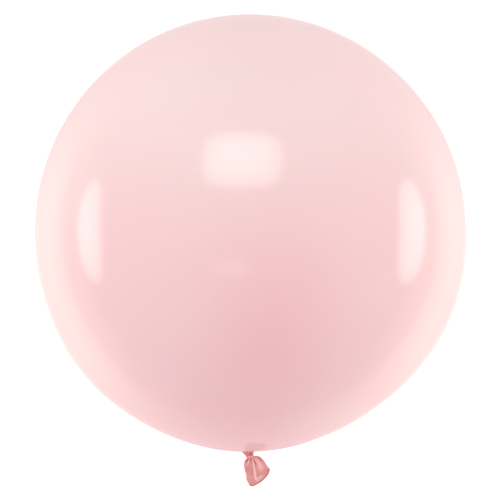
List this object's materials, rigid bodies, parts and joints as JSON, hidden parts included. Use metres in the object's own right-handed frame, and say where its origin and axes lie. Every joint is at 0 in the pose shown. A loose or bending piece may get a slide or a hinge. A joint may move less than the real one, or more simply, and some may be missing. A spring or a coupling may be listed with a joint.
{
  "type": "latex balloon",
  "caption": "Large round party balloon of pale pink latex, inflated and tied, with a gathered neck, a knot and a floppy flared tail that ends in a rolled rim.",
  "frame": {"origin": "middle of the tie groove, the narrowest ring of the neck, just above the knot", "axes": "+Z from the knot to the crown of the balloon, +X to the right in the front view, towards which the tail leans, and the front view looks along +Y"},
  "size_m": [0.6, 0.6, 0.6564],
  "materials": {
    "stretched_latex": "glossy, thin and translucent",
    "gathered_latex": "satin, packed in pleats",
    "slack_latex": "satin, slightly powdery"
  },
  "bodies": {
    "balloon": {"envelope": "stretched_latex", "neck": "gathered_latex"},
    "knot": {"knot": "gathered_latex"},
    "gather": {"gather": "gathered_latex"},
    "tail": {"tail": "slack_latex", "rolled_rim": "slack_latex"}
  },
  "joints": [
    {"name": "knot_twist", "type": "hinge", "parent": "balloon", "child": "knot", "pos_m": [0, 0, -0.0029], "axis": [0, 0, 1], "range_deg": [-90, 90], "stiffness_Nm_per_rad": 0.001},
    {"name": "tail_sway", "type": "hinge", "parent": "knot", "child": "gather", "pos_m": [0, 0, -0.0029], "axis": [0, 1, 0], "range_deg": [-15, 50], "stiffness_Nm_per_rad": 0.004},
    {"name": "tail_flop", "type": "hinge", "parent": "gather", "child": "tail", "pos_m": [0, 0, -0.0029], "axis": [0.891, 0, 0.454], "range_deg": [-70, 70], "stiffness_Nm_per_rad": 0.003}
  ]
}
